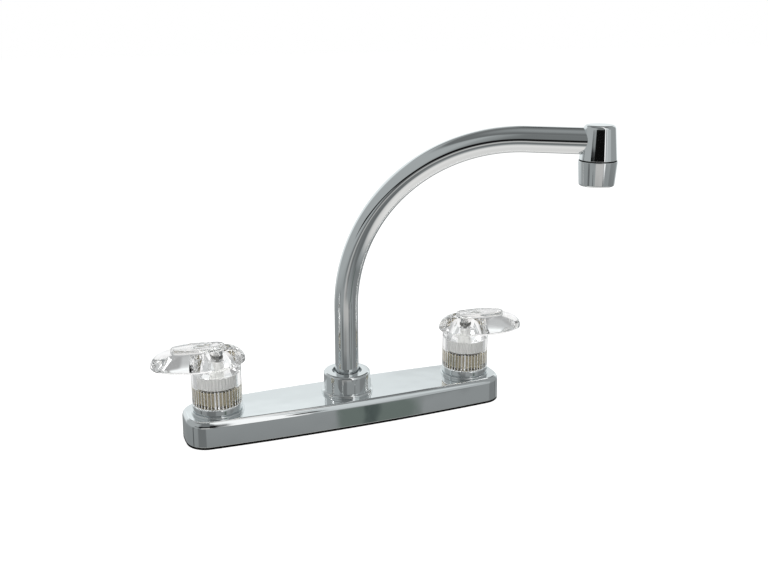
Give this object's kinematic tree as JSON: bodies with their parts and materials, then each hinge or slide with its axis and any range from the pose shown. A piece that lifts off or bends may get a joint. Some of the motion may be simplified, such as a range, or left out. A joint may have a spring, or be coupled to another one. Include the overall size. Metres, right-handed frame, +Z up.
{
  "type": "two handle kitchen faucet",
  "caption": "Deck mounted kitchen faucet with a high arc swivel spout and clear lever handles on a low chrome deck cover over threaded inlets.",
  "frame": {"origin": "middle of the deck gasket's underside, under the spout's axis", "axes": "+X along the deck to the cold handle, -Y towards the user, +Z up"},
  "size_m": [0.3057, 0.144, 0.2905],
  "materials": {
    "chrome": "polished chrome plate",
    "raw_brass": "machined brass",
    "copper_tube": "drawn copper",
    "black_rubber": "matte",
    "clear_acrylic": "clear moulded acrylic",
    "pale_plastic": "satin moulded plastic",
    "white_nylon": "matte",
    "grey_ceramic": "lapped ceramic",
    "spring_steel": "bright steel"
  },
  "bodies": {
    "deck": {"deck_cover": "chrome", "deck_gasket": "black_rubber", "spout_hub": "raw_brass", "spout_nut": "chrome", "spout_thrust_washer": "white_nylon", "hot_valve_body": "raw_brass", "hot_waterway": "copper_tube", "hot_seat_seal": "black_rubber", "hot_fixed_disc": "grey_ceramic", "hot_cartridge": "raw_brass", "hot_base_ring": "chrome", "hot_shank_washer": "spring_steel", "hot_shank_nut": "raw_brass", "cold_valve_body": "raw_brass", "cold_waterway": "copper_tube", "cold_seat_seal": "black_rubber", "cold_fixed_disc": "grey_ceramic", "cold_cartridge": "raw_brass", "cold_base_ring": "chrome", "cold_shank_washer": "spring_steel", "cold_shank_nut": "raw_brass"},
    "spout": {"spout_shank": "chrome", "spout_seals": "black_rubber", "spout_tube": "chrome", "spout_outlet": "chrome", "aerator_housing": "chrome", "aerator_washer": "black_rubber", "aerator_insert": "white_nylon"},
    "hot_lever": {"hot_moving_disc": "grey_ceramic", "hot_stem": "raw_brass", "hot_stem_seals": "black_rubber", "hot_stem_clip": "spring_steel", "hot_handle": "clear_acrylic", "hot_handle_insert": "pale_plastic", "hot_handle_screw": "spring_steel", "hot_handle_cap": "clear_acrylic"},
    "cold_lever": {"cold_moving_disc": "grey_ceramic", "cold_stem": "raw_brass", "cold_stem_seals": "black_rubber", "cold_stem_clip": "spring_steel", "cold_handle": "clear_acrylic", "cold_handle_insert": "pale_plastic", "cold_handle_screw": "spring_steel", "cold_handle_cap": "clear_acrylic"}
  },
  "joints": [
    {"name": "spout_swivel", "type": "hinge", "parent": "deck", "child": "spout", "pos_m": [0, 0, 0.03], "axis": [0, 0, 1], "continuous": true},
    {"name": "hot_lever_turn", "type": "hinge", "parent": "deck", "child": "hot_lever", "pos_m": [-0.1016, 0, 0.03], "axis": [0, 0, 1], "range_deg": [0, 90]},
    {"name": "cold_lever_turn", "type": "hinge", "parent": "deck", "child": "cold_lever", "pos_m": [0.1016, 0, 0.03], "axis": [0, 0, 1], "range_deg": [-90, 0]}
  ]
}
